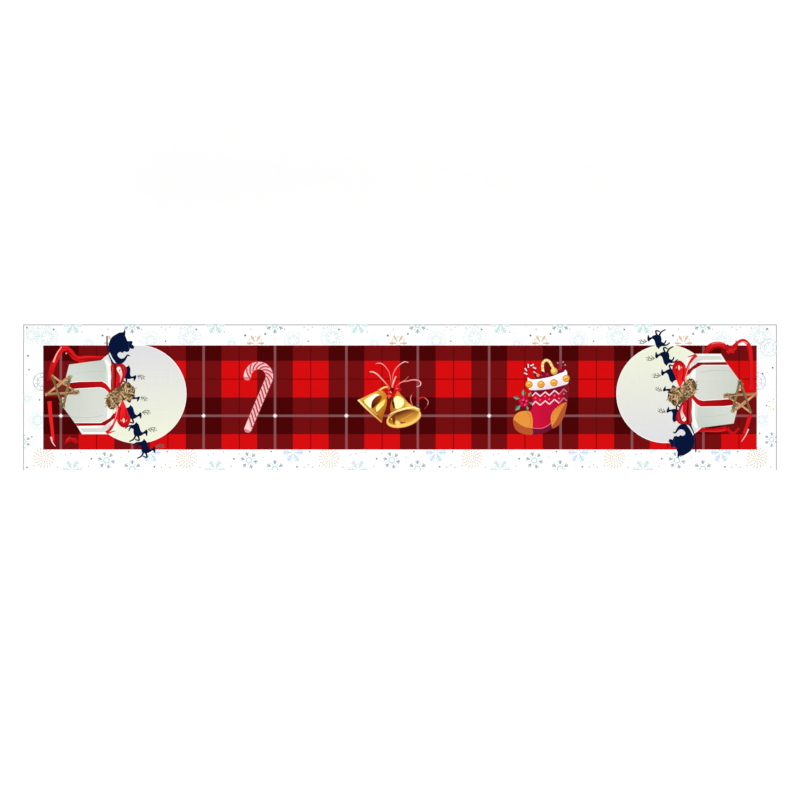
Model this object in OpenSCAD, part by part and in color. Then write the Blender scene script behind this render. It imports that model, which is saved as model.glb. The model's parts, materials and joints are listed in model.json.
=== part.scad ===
// Printed table runner: one long cloth with a double-turned, lockstitched hem on all four sides.
// It lies along X with its print up and rests on its hems at z = 0, centred on the origin.
// Cloth bends anywhere, so three hinge lines stand in for its bends: one drop line near each
// end, where it hangs over the end of a table, and one line in the middle, where it folds in half.

/* [Runner] */
// Length over the finished hems
runner_l = 1830; // [1000:10:2750]
// Width over the finished hems
runner_w = 355; // [250:5:500]
// Thickness of one ply of the printed cloth
cloth_t = 0.5; // [0.3:0.05:0.9]

/* [Bend lines] */
// Length of each end past its drop line
drop_l = 305; // [150:5:450]
// Free height left between plies that are folded flat on each other
ply_clear = 0.2; // [0.1:0.05:0.5]
// Free gap left under a drop line when the end hangs straight down
drop_clear = 0.35; // [0.3:0.05:1]

/* [Hem] */
// Width of the finished hem
hem_w = 12; // [6:0.5:25]
// Plies turned under the cloth by the hem
hem_plies = 2; // [1:1:2]

/* [Seam] */
// Distance from the hem's inner fold to the stitch row
stitch_from_fold = 2; // [1:0.25:4]
// Thickness of the sewing thread
thread_d = 0.3; // [0.2:0.05:0.4]

/* [Care label] */
// Width of the folded label along the hem
label_w = 32; // [15:1:60]
// Length of the folded label, from the hem to its fold
label_l = 40; // [15:1:80]
// Thickness of the folded label
label_t = 0.3; // [0.2:0.05:0.5]
// Distance from the right end of the runner to the middle of the label
label_from_end = 120; // [60:5:145]

/* [Hidden] */
$fn = 48;

// Heights through the layers, from the table up
hem_t = hem_plies * cloth_t;
full_t = hem_t + cloth_t;
thread_h = thread_d / 2;
top_z = full_t + thread_h;

// Round nose where the cloth turns back at the outer edge, and round fold at the hem's inner edge
nose_r = full_t / 2;
fold_r = hem_t / 2;
stitch_in = hem_w - stitch_from_fold;

// A folded end lies on the centre with a free gap, and a folded half then clears both
drop_axis_z = top_z + ply_clear;
fold_axis_z = 2 * drop_axis_z + ply_clear;
drop_x = runner_l / 2 - drop_l;

// A hanging end swings under the centre panel, so its gap follows the height of the hinge line
drop_gap = 2 * (drop_axis_z + drop_clear);

// The half fold leaves bare the length of cloth that goes round the bend
fold_gap = PI * (fold_axis_z - hem_t - cloth_t / 2);

// Where each panel starts and ends along X
SPANS = [
    [-runner_l / 2, -drop_x - drop_gap / 2],
    [-drop_x + drop_gap / 2, -fold_gap / 2],
    [fold_gap / 2, drop_x - drop_gap / 2],
    [drop_x + drop_gap / 2, runner_l / 2]
];
LEFT_END = 0;
CENTRE_LEFT = 1;
CENTRE_RIGHT = 2;
RIGHT_END = 3;

// ---- Sections, drawn with the outer edge at x = 0 and the table at y = 0 ----

// Two plies under the cloth and the cloth's own turn round the outer edge, less the room for the
// cloth on top and a shallow groove where the bobbin thread is pulled in
module hem_section() {
    difference() {
        union() {
            translate([nose_r, nose_r]) circle(r = nose_r);
            translate([nose_r, 0]) square([hem_w - nose_r - fold_r, hem_t]);
            translate([hem_w - fold_r, fold_r]) circle(r = fold_r);
        }
        translate([nose_r, hem_t]) square([hem_w, full_t]);
        translate([stitch_in - thread_d / 2, -thread_h]) square([thread_d, 2 * thread_h]);
    }
}

// The needle thread stands half proud of the cloth
module needle_thread_section() {
    intersection() {
        translate([stitch_in, full_t]) circle(d = thread_d);
        translate([stitch_in - thread_d, full_t]) square([2 * thread_d, thread_d]);
    }
}

// The bobbin thread lies flat in its groove, a little above the table
module bobbin_thread_section() {
    sink = thread_h / 10;
    translate([stitch_in - thread_d / 2, sink]) square([thread_d, thread_h - sink]);
}

// ---- Runs: a section swept along one edge ----

// Along the front edge, from x = span[0] to x = span[1]
module along_front(span) {
    translate([span[0], -runner_w / 2, 0])
        rotate([90, 0, 90])
            linear_extrude(height = span[1] - span[0]) children();
}

module along_back(span) {
    mirror([0, 1, 0]) along_front(span) children();
}

// Along the left end, over the length run
module along_left(run) {
    translate([-runner_l / 2, run / 2, 0])
        rotate([90, 0, 0])
            linear_extrude(height = run) children();
}

// The strip of plan that the front hem fills, mitred at both corners of the runner
module front_mitre() {
    translate([0, -runner_w / 2, -full_t])
        linear_extrude(height = 3 * full_t)
            polygon([
                [-runner_l / 2, 0],
                [runner_l / 2, 0],
                [runner_l / 2 - hem_w, hem_w],
                [-runner_l / 2 + hem_w, hem_w]
            ]);
}

// The same for the left end hem
module left_mitre() {
    translate([-runner_l / 2, 0, -full_t])
        linear_extrude(height = 3 * full_t)
            polygon([
                [0, -runner_w / 2],
                [hem_w, -runner_w / 2 + hem_w],
                [hem_w, runner_w / 2 - hem_w],
                [0, runner_w / 2]
            ]);
}

// ---- Pieces ----

// A seam stops where the row of the next edge starts, so the outer panels lose the corner square
function seam_span(span) = [
    max(span[0], -runner_l / 2 + stitch_in + thread_d),
    min(span[1], runner_l / 2 - stitch_in - thread_d)
];

// The flat face of the cloth stops where the hem's round nose starts
function cloth_span(span) = [
    max(span[0], -runner_l / 2 + nose_r),
    min(span[1], runner_l / 2 - nose_r)
];

module cloth_panel(i) {
    face = cloth_span(SPANS[i]);
    face_w = runner_w - 2 * nose_r;
    color("firebrick")
        translate([face[0], -face_w / 2, hem_t])
            cube([face[1] - face[0], face_w, cloth_t]);
}

module front_hem(i) {
    color("ivory")
        intersection() {
            along_front(SPANS[i]) hem_section();
            front_mitre();
        }
}

module back_hem(i) {
    mirror([0, 1, 0]) front_hem(i);
}

module front_seam(i) {
    span = seam_span(SPANS[i]);
    color("silver") {
        along_front(span) needle_thread_section();
        along_front(span) bobbin_thread_section();
    }
}

module back_seam(i) {
    mirror([0, 1, 0]) front_seam(i);
}

module left_end_hem() {
    color("ivory")
        intersection() {
            along_left(runner_w) hem_section();
            left_mitre();
        }
}

module right_end_hem() {
    mirror([1, 0, 0]) left_end_hem();
}

module left_end_seam() {
    run = runner_w - 2 * stitch_in - 2 * thread_d;
    color("silver") {
        along_left(run) needle_thread_section();
        along_left(run) bobbin_thread_section();
    }
}

module right_end_seam() {
    mirror([1, 0, 0]) left_end_seam();
}

// Folded satin tab, caught in the front hem and lying flat under the cloth
module care_label() {
    tab_l = label_l - label_t / 2;
    color("whitesmoke")
        translate([runner_l / 2 - label_from_end - label_w / 2, -runner_w / 2 + hem_w, hem_t - label_t])
            rotate([90, 0, 90])
                linear_extrude(height = label_w)
                    union() {
                        square([tab_l, label_t]);
                        translate([tab_l, label_t / 2]) circle(d = label_t);
                    }
}

cloth_panel(LEFT_END);  // cloth_left_end
cloth_panel(CENTRE_LEFT);  // cloth_centre_left
cloth_panel(CENTRE_RIGHT);  // cloth_centre_right
cloth_panel(RIGHT_END);  // cloth_right_end
front_hem(LEFT_END);  // front_hem_left_end
front_hem(CENTRE_LEFT);  // front_hem_centre_left
front_hem(CENTRE_RIGHT);  // front_hem_centre_right
front_hem(RIGHT_END);  // front_hem_right_end
back_hem(LEFT_END);  // back_hem_left_end
back_hem(CENTRE_LEFT);  // back_hem_centre_left
back_hem(CENTRE_RIGHT);  // back_hem_centre_right
back_hem(RIGHT_END);  // back_hem_right_end
left_end_hem();
right_end_hem();
front_seam(LEFT_END);  // front_seam_left_end
front_seam(CENTRE_LEFT);  // front_seam_centre_left
front_seam(CENTRE_RIGHT);  // front_seam_centre_right
front_seam(RIGHT_END);  // front_seam_right_end
back_seam(LEFT_END);  // back_seam_left_end
back_seam(CENTRE_LEFT);  // back_seam_centre_left
back_seam(CENTRE_RIGHT);  // back_seam_centre_right
back_seam(RIGHT_END);  // back_seam_right_end
left_end_seam();
right_end_seam();
care_label();
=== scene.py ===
import json
import math
import random

import bpy
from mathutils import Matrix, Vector
from mathutils.geometry import delaunay_2d_cdt


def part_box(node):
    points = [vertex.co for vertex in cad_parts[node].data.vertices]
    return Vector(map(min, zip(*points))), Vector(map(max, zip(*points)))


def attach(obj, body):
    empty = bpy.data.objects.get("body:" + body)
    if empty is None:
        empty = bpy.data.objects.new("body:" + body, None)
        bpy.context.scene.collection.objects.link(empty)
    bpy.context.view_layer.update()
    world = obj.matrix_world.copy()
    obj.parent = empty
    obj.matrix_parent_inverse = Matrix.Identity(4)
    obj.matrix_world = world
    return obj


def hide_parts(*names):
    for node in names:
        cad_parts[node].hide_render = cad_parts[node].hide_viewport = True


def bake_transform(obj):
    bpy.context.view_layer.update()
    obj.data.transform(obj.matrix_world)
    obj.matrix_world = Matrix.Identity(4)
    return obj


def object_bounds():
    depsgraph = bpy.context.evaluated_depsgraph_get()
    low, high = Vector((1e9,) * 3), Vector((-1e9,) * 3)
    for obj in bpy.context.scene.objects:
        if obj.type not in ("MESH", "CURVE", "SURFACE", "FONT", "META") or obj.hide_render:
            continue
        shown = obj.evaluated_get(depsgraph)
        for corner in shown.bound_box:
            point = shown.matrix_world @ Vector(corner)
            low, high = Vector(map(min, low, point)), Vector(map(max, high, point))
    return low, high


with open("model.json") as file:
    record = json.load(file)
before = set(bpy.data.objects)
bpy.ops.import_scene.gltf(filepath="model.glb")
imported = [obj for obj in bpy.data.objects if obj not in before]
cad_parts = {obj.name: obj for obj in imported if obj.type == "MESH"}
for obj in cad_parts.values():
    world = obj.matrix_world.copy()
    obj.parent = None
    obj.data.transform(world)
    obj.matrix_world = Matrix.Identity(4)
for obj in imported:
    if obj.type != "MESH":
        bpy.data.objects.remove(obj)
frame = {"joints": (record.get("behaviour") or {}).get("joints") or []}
cad_low, cad_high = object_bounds()

# ---------------------------------------------------------------------------------------------------------
# Camera: straight above the runner, square to it, with the long sides across the view.
# ---------------------------------------------------------------------------------------------------------
def into_scene(name, data):
    """A new object in the scene that holds this camera, lamp or mesh."""
    thing = bpy.data.objects.new(name, data)
    bpy.context.scene.collection.objects.link(thing)
    return thing


camera_height = 5.392
camera_shift_back = 0.0066
camera_data = bpy.data.cameras.new("overhead_camera")
camera_data.lens = 100
camera_data.sensor_width = 36
overhead_camera = into_scene("overhead_camera", camera_data)
overhead_camera.location = (0, -camera_shift_back, camera_height)
bpy.context.scene.camera = overhead_camera
bpy.context.scene.view_settings.view_transform = "Standard"

# ---------------------------------------------------------------------------------------------------------
# Studio: a seamless pale floor, a table's height below the cloth so that the ends have room to hang,
# a white sky, and one large soft light in front of the runner.
# ---------------------------------------------------------------------------------------------------------
table_height = 0.75
bpy.ops.object.select_all(action="DESELECT")
bpy.ops.mesh.primitive_plane_add(size=60, location=(0, 0, -table_height))
studio_floor = bpy.context.object
studio_floor.name = "studio_floor"
floor_paint = bpy.data.materials.new("floor_paint")
floor_paint.use_nodes = True
floor_surface = floor_paint.node_tree.nodes["Principled BSDF"]
floor_surface.inputs["Base Color"].default_value = (0.93, 0.93, 0.93, 1)
floor_surface.inputs["Roughness"].default_value = 0.9
floor_surface.inputs["Emission Color"].default_value = (1, 1, 1, 1)
floor_surface.inputs["Emission Strength"].default_value = 0.1
studio_floor.data.materials.append(floor_paint)

sky = bpy.data.worlds.new("studio_sky")
sky.use_nodes = True
sky.node_tree.nodes["Background"].inputs["Color"].default_value = (1, 1, 1, 1)
sky.node_tree.nodes["Background"].inputs["Strength"].default_value = 0.86
bpy.context.scene.world = sky

for light_name, place, size, power in [
    ("front_softbox", (-0.8, -2.8, 3.0), 2.4, 44),
    ("back_softbox", (1.6, 1.8, 3.4), 1.8, 14),
]:
    lamp = bpy.data.lights.new(light_name, "AREA")
    lamp.size = size
    lamp.energy = power
    softbox = into_scene(light_name, lamp)
    softbox.location = place
    softbox.rotation_euler = Vector(place).to_track_quat("Z", "Y").to_euler()

# ---------------------------------------------------------------------------------------------------------
# The print. A runner like this is polyester cloth printed by dye transfer before it is cut and hemmed.
# Everything below is drawn flat in millimetres, in the order in which it lies on the ground pattern.
# ---------------------------------------------------------------------------------------------------------
printed_shapes = []


def dye(red, green, blue):
    """A colour given as a dyer's 0 to 255 mix, as linear light."""
    return tuple(((c / 255 + 0.055) / 1.055) ** 2.4 if c > 10 else c / 3295 for c in (red, green, blue))


def toned(mix, tone):
    """A dye whose mix is made lighter or darker by a tone about 1."""
    return dye(*[min(255, c * tone) for c in mix])


def fade(start, start_dye, end, end_dye):
    """A paint that runs from one dye at start to another at end."""
    run = Vector(end) - Vector(start)

    def paint(point):
        share = min(1, max(0, (Vector(point) - Vector(start)).dot(run) / run.length_squared))
        return tuple(a + (b - a) * share for a, b in zip(start_dye, end_dye))

    return paint


def flowing(points, closed=False, steps=5):
    """The smooth line through the points, with so many steps from each point to the next."""
    count = len(points)
    line = []
    for i in range(count if closed else count - 1):
        if closed:
            corners = [points[(i + k) % count] for k in (-1, 0, 1, 2)]
        else:
            corners = [points[min(max(i + k, 0), count - 1)] for k in (-1, 0, 1, 2)]
        before, start, end, after = [Vector(p) for p in corners]
        for step in range(steps):
            t = step / steps
            line.append(
                0.5 * (2 * start + (end - before) * t + (2 * before - 5 * start + 4 * end - after) * t * t
                       + (3 * start - before - 3 * end + after) * t ** 3))
    if not closed:
        line.append(Vector(points[-1]))
    return line


class Pen:
    """Draws a motif about its own middle, then lays it on the cloth at a place, a turn and a size.
    A cover of 1 prints over everything, and 0.5 only where the checked field leaves the border white."""

    def __init__(self, at=(0, 0), turn=0, size=1, cover=1):
        self.at = Vector(at)
        self.cover = cover
        self.cos = math.cos(math.radians(turn)) * size
        self.sin = math.sin(math.radians(turn)) * size

    def laid(self, point):
        """Where a point of the motif comes to lie on the cloth."""
        x, y = point[0], point[1]
        return self.at + Vector((x * self.cos - y * self.sin, x * self.sin + y * self.cos))

    def patch(self, points, paint):
        outline = [self.laid(p) for p in points]
        turning = sum(a.x * b.y - b.x * a.y for a, b in zip(outline, outline[1:] + outline[:1]))
        if turning < 0:
            outline.reverse()
        printed_shapes.append((outline, paint, self))

    def back(self, place):
        """The point of the motif that lies at a place on the cloth."""
        off = place - self.at
        scale = self.cos ** 2 + self.sin ** 2
        along = (off.x * self.cos + off.y * self.sin) / scale
        across = (off.y * self.cos - off.x * self.sin) / scale
        return Vector((along, across))

    def blob(self, points, paint, steps=4):
        self.patch(flowing(points, closed=True, steps=steps), paint)

    def oval(self, middle, radius, paint, flat=1, tilt=0, sides=20):
        c, s = math.cos(math.radians(tilt)), math.sin(math.radians(tilt))
        rim = []
        for k in range(sides):
            angle = 2 * math.pi * k / sides
            x, y = radius * math.cos(angle), radius * flat * math.sin(angle)
            rim.append((middle[0] + x * c - y * s, middle[1] + x * s + y * c))
        self.patch(rim, paint)

    def line(self, points, width, paint, end_width=None):
        """Straight strokes from point to point, each a strip, running to end_width."""
        spots = [Vector(p) for p in points]
        last = width if end_width is None else end_width
        count = len(spots) - 1
        for i in range(count):
            along = spots[i + 1] - spots[i]
            if along.length < 1e-6:
                continue
            side = Vector((-along.y, along.x)) / along.length / 2
            first_side = side * (width + (last - width) * i / count)
            next_side = side * (width + (last - width) * (i + 1) / count)
            lap = along * min(0.5, 0.12 * width / along.length) if count > 1 else along * 0
            start, end = spots[i] - lap, spots[i + 1] + lap
            self.patch([start - first_side, end - next_side, end + next_side, start + first_side], paint)

    def curve(self, points, width, paint, end_width=None, steps=5):
        self.line(flowing(points, steps=steps), width, paint, end_width)


# Snowflakes: six like arms round a middle, in pale teal, blue, grey and tan.
teal = dye(196, 224, 222)
ice_blue = dye(202, 220, 236)
frost_grey = dye(156, 170, 176)
lace = dye(208, 224, 228)
old_gold = dye(214, 190, 154)
speck_grey = dye(118, 128, 134)
pale_speck = dye(186, 190, 190)
speck_red = dye(214, 150, 150)


def snowflake(at, radius, paint, kind, turn=0):
    for arm in range(6):
        pen = Pen(at, turn + 60 * arm, radius / 20, cover=0.5)
        if kind == "dotted":
            for out, count in [(4.5, 1), (8.5, 2), (12.5, 2), (16.5, 3), (20, 3)]:
                for k in range(count):
                    angle = math.radians((k - (count - 1) / 2) * 60 / count + out)
                    middle = Vector((math.sin(angle), math.cos(angle))) * out
                    slant = angle + 0.7 * (-1) ** k
                    dash = Vector((math.sin(slant), math.cos(slant))) * 1.5
                    pen.line([middle - dash, middle + dash], 1.7, paint)
        if kind == "capsule":
            pen.line([(0, 11), (0, 13), (0, 18), (0, 19.5)], 3.4, paint, 2.6)
            pen.line([(-4.4, 18), (0, 12), (4.4, 18)], 1.6, paint)
            pen.line([(-3.4, 5.9), (3.4, 5.9)], 1.9, dye(164, 200, 200))
            pen.line([(4.4, 7.6), (7.4, 12.8)], 1.9, teal)
        if kind == "fan":
            pen.line([(0, 3), (0, 19)], 2.6, paint, 4.0)
            for out, reach in [(7, 5), (12, 5)]:
                pen.line([(-reach, out + reach), (0, out), (reach, out + reach)], 1.7, paint)
        if kind == "rays":
            pen.line([(0, 3), (0, 19)], 0.9, paint)
            for lean in (-0.42, -0.2, 0.2, 0.42):
                root = Vector((lean * 6, 8))
                tip = Vector((math.sin(lean), math.cos(lean))) * 18
                pen.line([root, tip], 0.7, paint)
                pen.oval(tip, 1.1, paint, sides=6)
            pen.line([(-5, 9), (0, 6), (5, 9)], 0.8, paint)
        if kind == "doily":
            for reach, width in [(19.4, 1.5), (10, 1.2)]:
                rim = [(reach * math.sin(math.radians(a)), reach * math.cos(math.radians(a)))
                       for a in (-30, -15, 0, 15, 30)]
                pen.line(rim, width, paint)
            pen.line([(0, 3), (0, 10)], 1.2, paint)
            cell = []
            for k in range(7):
                angle = math.radians(60 * k)
                cell.append((4 * math.cos(angle), 14.6 + 4 * math.sin(angle)))
            pen.line(cell, 1.0, paint)
        if kind == "star":
            pen.line([(0, 4), (0, 19)], 2.0, paint, 4.2)
            pen.line([(-4, 15), (0, 9), (4, 15)], 1.3, paint)
            pen.oval((7.4, 12.8), 1.7, paint, sides=6)
        if kind == "tipped":
            pen.patch([(0, 13), (3.6, 21), (-3.6, 21)], paint)
            pen.oval((5, 8.6), 1.3, paint, sides=6)


# The wallpaper of flakes repeats along both borders; the border is 50 mm wide.
flake_repeat = 346
flakes_end = 935
specks_end = 905
back_flakes = [
    (-350.5, 131, 22, old_gold, "star", 30), (-303.5, 176.6, 22, frost_grey, "capsule", 0),
    (-258.3, 137.6, 25, lace, "rays", 0), (-222.6, 175.5, 12.5, old_gold, "tipped", 0),
    (-164.6, 145.4, 30, lace, "rays", 15), (-102.1, 176.6, 25, teal, "fan", 30),
    (-62.5, 130, 15, teal, "rays", 0),
]
front_flakes = [
    (-20.1, -152.9, 21, frost_grey, "capsule", 18), (42.5, -174.1, 22, frost_grey, "capsule", 0),
    (86.6, -133.9, 26, ice_blue, "fan", 30), (123.4, -175.5, 12.5, old_gold, "tipped", 0),
    (174.1, -146.8, 24, old_gold, "dotted", 0), (243.3, -176.3, 26, lace, "fan", 30),
]
back_specks = [(-326.9, 153.8, 2.6), (-147.9, 164.4, 2.2), (-29.6, 149.9, 2.8), (-222.6, 135.9, 2.1)]
front_specks = [(33.6, -131.7, 2.1), (96.1, -168.5, 2.4), (127.3, -131.7, 2.0), (289.1, -149, 2.4)]
pale_specks = [(-16.2, 164.9), (207, -169.6), (263.4, -133.4), (226.6, -139.5), (239.4, -136.7),
               (281.8, -167.4), (301.9, -136.7), (-280, 165), (-186, 168), (-80, 158), (15, -146),
               (150, -166)]
for wave in range(-3, 5):
    for x, y, radius, paint, kind, turn in back_flakes + front_flakes:
        place = (x + flake_repeat * wave, y)
        if abs(place[0]) < flakes_end:
            snowflake(place, radius, paint, kind, turn)
    for x, y, radius in back_specks + front_specks:
        place = (x + flake_repeat * wave, y)
        if abs(place[0]) < specks_end:
            Pen(place, cover=0.5).oval((0, 0), radius, speck_grey, sides=8)
    for x, y in pale_specks:
        place = (x + flake_repeat * wave, y)
        if abs(place[0]) < specks_end:
            Pen(place, cover=0.5).oval((0, 0), 1.9, pale_speck, sides=6)

# The end borders have flakes and specks of their own.
for x, y, radius, paint, kind in [(-868.8, 37.8, 22, dye(160, 188, 190), "doily"),
                                  (-905, -3, 14, teal, "rays"), (-879, -56, 24, teal, "rays"),
                                  (-914, -107.5, 18, frost_grey, "capsule"), (866, 39, 22,
                                                                              dye(186, 200, 222), "doily"),
                                  (894.7, 120.4, 22, lace, "doily"), (906, -16.8, 13, old_gold, "tipped"),
                                  (878, -54, 20, lace, "rays"), (901.7, -102.8, 18, frost_grey, "capsule"),
                                  (-895, 150, 22, lace, "rays")]:
    snowflake((x, y), radius, paint, kind)
for x, y, radius in [(-902.5, 100.6, 2.6), (-900, 66.9, 2.2), (-874.6, -6.3, 2.2), (-893.2, -95.9, 2.0),
                     (-904.8, 169.2, 2.3), (-904.8, -170.3, 2.2), (891.2, 165.7, 2.6), (879.6, 57.1, 2.5),
                     (904, 71.6, 2.4), (888.9, -20.3, 2.0), (872.6, -87.7, 2.0)]:
    Pen(cover=0.5).oval((x, y), radius, speck_grey, sides=8)

# A scatter of tiny dots between the flakes.
scatter = random.Random(11)
for number in range(620):
    x = scatter.uniform(-908, 908)
    y = scatter.choice((-1, 1)) * scatter.uniform(128, 173)
    if number % 6 == 0:
        x = scatter.choice((-1, 1)) * scatter.uniform(868, 908)
        y = scatter.uniform(-170, 170)
    speck = scatter.choice((teal, ice_blue, lace, old_gold, speck_red, teal))
    Pen((x, y), cover=0.5).oval((0, 0), scatter.uniform(0.6, 1.2), speck, sides=6)

# End scenes: a pale moon with a laden sleigh and a team of deer across it, and a tied gift beside it.
navy = dye(2, 18, 54)
antler_grey = dye(90, 92, 78)
ribbon_red = dye(216, 22, 26)
deep_red = dye(150, 6, 12)
ribbon_pink = dye(255, 196, 196)
paper_light = dye(243, 245, 240)
chalk = dye(252, 252, 250)


def moon(pen):
    pen.oval((0, 0), 119.6, chalk, sides=64)
    pen.oval((0, 0), 118, fade((0, 110), dye(219, 219, 222), (0, -110), dye(235, 238, 214)), sides=64)


def ribbon_ends(pen):
    """The gift's loose ribbon: an arch behind the box and a straight tail below it."""
    pen.curve([(-213, 34), (-205, 68), (-194, 91), (-184, 107), (-173, 111), (-162, 103),
               (-152, 90), (-139, 85)], 13, fade((-214, 30), dye(150, 10, 14), (-200, 76), ribbon_red))
    pen.curve([(-203, 78), (-195, 98), (-183, 115)], 3.5, ribbon_pink, 1)
    pen.curve([(-170, 106), (-160, 96), (-150, 86)], 5, deep_red, 2)
    pen.oval((-172, 99), 1.9, dye(255, 176, 164), sides=8)
    top_ribbon(pen)
    pen.curve([(-213, -18), (-210, -52), (-206, -89), (-204, -112)], 10, dye(228, 30, 32), 7)
    pen.curve([(-209, -104), (-206, -116), (-199, -126)], 4.5, ribbon_pink, 1.5)
    loose_scrap(pen)


def top_ribbon(pen):
    pen.patch([(-150, 90), (-128, 94), (-100, 93), (-76, 93), (-70, 84), (-115, 84), (-146, 79)],
              dye(198, 14, 20))
    pen.curve([(-144, 88), (-118, 91), (-92, 90)], 2.4, dye(236, 40, 40), 1.4)
    pen.curve([(-140, 84), (-110, 86), (-82, 87)], 1.8, deep_red)


def loose_scrap(pen):
    pen.patch([(-177, -122), (-172, -108), (-164, -100), (-158, -108), (-150, -104), (-141, -116),
               (-150, -120), (-160, -113)], dye(176, 14, 20))
    pen.curve([(-172, -112), (-163, -106), (-152, -110)], 3, dye(222, 34, 38), 1.5)


def side_ribbons(pen):
    """The longer ribbon at one end of the runner, which rises over the border."""
    pen.curve([(96, 98), (110, 117), (135, 120), (153, 108), (166, 102)], 13,
              fade((96, 98), dye(160, 12, 18), (116, 116), ribbon_red), 9)
    pen.curve([(112, 121), (126, 124), (140, 122)], 2, dye(246, 120, 116), 1)
    pen.curve([(104, 102), (122, 112), (142, 110), (158, 98)], 3.4, dye(166, 8, 16), 2)
    pen.curve([(150, 100), (172, 121), (187, 129), (199, 122), (206, 105), (207, 68), (207, 10)], 9,
              ribbon_red)
    pen.curve([(176, 120), (188, 126), (198, 122)], 3, ribbon_pink, 1)
    pen.curve([(196, 114), (201, 100), (203, 66), (203, 20)], 2.6, dye(176, 10, 16), 1.8)
    pen.curve([(205, -52), (198, -76), (190, -96)], 10, ribbon_red, 6)
    pen.curve([(201, -86), (194, -101), (184, -116)], 3.5, ribbon_pink, 1)
    pen.curve([(150, -84), (163, -96), (178, -84)], 9, dye(190, 14, 20), 5)


def gift_box(pen):
    pen.patch([(-165, 72), (-74, 84), (-62, 70), (-62, -88), (-74, -95), (-133, -95), (-183, -27),
               (-172, 45)], fade((-170, 0), dye(202, 207, 198), (-70, -20), dye(216, 219, 211)))
    pen.patch([(-165, 72), (-74, 84), (-78, 31), (-140, 30), (-169, 27), (-172, 45)],
              fade((-160, 20), dye(214, 219, 210), (-100, 90), dye(196, 203, 195)))
    pen.patch([(-80, 83), (-74, 84), (-62, 70), (-62, -88), (-74, -95), (-74, -70), (-70, 0), (-72, 60)],
              paper_light)
    pen.curve([(-182, -27), (-178, 10), (-168, 26)], 2.2, chalk)
    pen.curve([(-160, -55), (-120, -57), (-84, -52)], 1.6, dye(190, 194, 188))
    pen.curve([(-150, 50), (-120, 54), (-84, 56)], 1.2, dye(188, 195, 188))
    pen.patch([(-152, -68), (-88, -68), (-62, -56), (-50, -44), (-50, -84), (-72, -97), (-134, -97)],
              paper_light)
    band = [(-168, 27), (-140, 30), (-85, 31), (-75, 25), (-61, 7), (-61, -4), (-71, 6), (-80, 14), (-90, 17),
            (-140, 14), (-168, 12)]
    pen.line(band[:5], 3, chalk)
    pen.line(band[6:], 3, chalk)
    pen.patch(band, fade((-168, 20), dye(140, 4, 10), (-60, 10), dye(196, 14, 20)))
    pen.patch([(-151, -70), (-88, -70), (-66, -58), (-57, -46), (-52, -48), (-57, -60), (-78, -76),
               (-146, -77)], deep_red)
    pen.patch([(-140, -83), (-88, -82), (-66, -70), (-60, -60), (-66, -84), (-76, -92), (-132, -92)],
              dye(212, 214, 208))
    pen.curve([(-75, -93), (-64, -84), (-55, -66), (-51, -44)], 7, ribbon_red, 5)
    pen.curve([(-72, -95), (-63, -92), (-54, -89)], 4, dye(196, 36, 42), 2)
    pen.curve([(-62, 82), (-60, 60), (-62, 20), (-58, -10)], 4, deep_red)


def straw_star(pen):
    """A five-pointed star of twigs, each side a bundle of thin strands with bristles at the broad tips."""
    twigs = random.Random(5)
    tips = [(-221, -1), (-207, 45), (-163, 42), (-143, 3), (-180, -30)]
    pen.blob([(-200, 8), (-192, 26), (-170, 26), (-160, 8), (-180, -8)], dye(110, 40, 30))
    for i in range(5):
        start, end = Vector(tips[i]), Vector(tips[(i + 2) % 5])
        light = i in (0, 1, 3)
        for strand in range(8):
            spots = []
            for k in range(3):
                stray = Vector((twigs.uniform(-3.4, 3.4), twigs.uniform(-3.4, 3.4)))
                spots.append(start + (end - start) * k / 2 + stray)
            tone = twigs.choice((0.5, 0.72, 0.9, 1.0, 1.14))
            base = (208, 160, 112) if light else (138, 114, 74)
            pen.line(spots, 1.9, toned(base, tone), 1.1)
    for tip, bristles in [(tips[2], 18), (tips[3], 20), (tips[4], 20)]:
        inward = (Vector((-180, 14)) - Vector(tip)).normalized()
        for bristle in range(bristles):
            root = Vector(tip) + inward * twigs.uniform(-1, 20)
            root += Vector((twigs.uniform(-5, 5), twigs.uniform(-5, 5)))
            way = Vector((twigs.uniform(-6, 6), twigs.uniform(-6, 6)))
            tone = twigs.uniform(0.5, 1.15)
            pen.line([root - way, root + way], 1.6, toned((150, 124, 78), tone), 0.8)


def straw_bow(pen):
    """The bow of straw that ties the gift: short bent strands in two ragged tufts about a knot."""
    strands = random.Random(8)
    pen.blob([(-70, 2), (-75, -15), (-72, -29), (-64, -37), (-54, -34), (-46, -27), (-38, -18), (-30, -15),
              (-18, -17), (-13, -12), (-12, 2), (-8, 14), (-14, 22), (-20, 29), (-28, 30), (-35, 24),
              (-44, 19), (-54, 12)], dye(104, 76, 46), steps=3)
    for tuft, spread, count in [((-60, -16), 34, 56), ((-42, 2), 26, 30), ((-20, 8), 30, 46),
                                ((-24, -4), 26, 20), ((-30, 20), 20, 16)]:
        for strand in range(count):
            angle = strands.uniform(0, 2 * math.pi)
            middle = Vector(tuft) + Vector((math.cos(angle),
                                            math.sin(angle))) * strands.uniform(0, spread * 0.62)
            turn = angle + strands.uniform(-1.1, 1.1)
            way = Vector((math.cos(turn), math.sin(turn))) * strands.uniform(3, 8)
            bend = Vector((-way.y, way.x)) * strands.uniform(-0.6, 0.6)
            tone = strands.choice((0.32, 0.52, 0.8, 0.95, 1.1, 1.3))
            straw = toned((172, 142, 102), tone)
            pen.line([middle - way, middle + bend, middle + way], 3.2, straw, 1.5)
    for strand in range(9):
        lean = strands.uniform(-7, 7)
        tone = strands.uniform(0.5, 1.2)
        knot_line = [(-47 + lean, -18), (-44 + lean * 0.4, -6), (-40 + lean, 8)]
        pen.line(knot_line, 1.8, toned((176, 142, 100), tone), 1.2)


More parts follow.
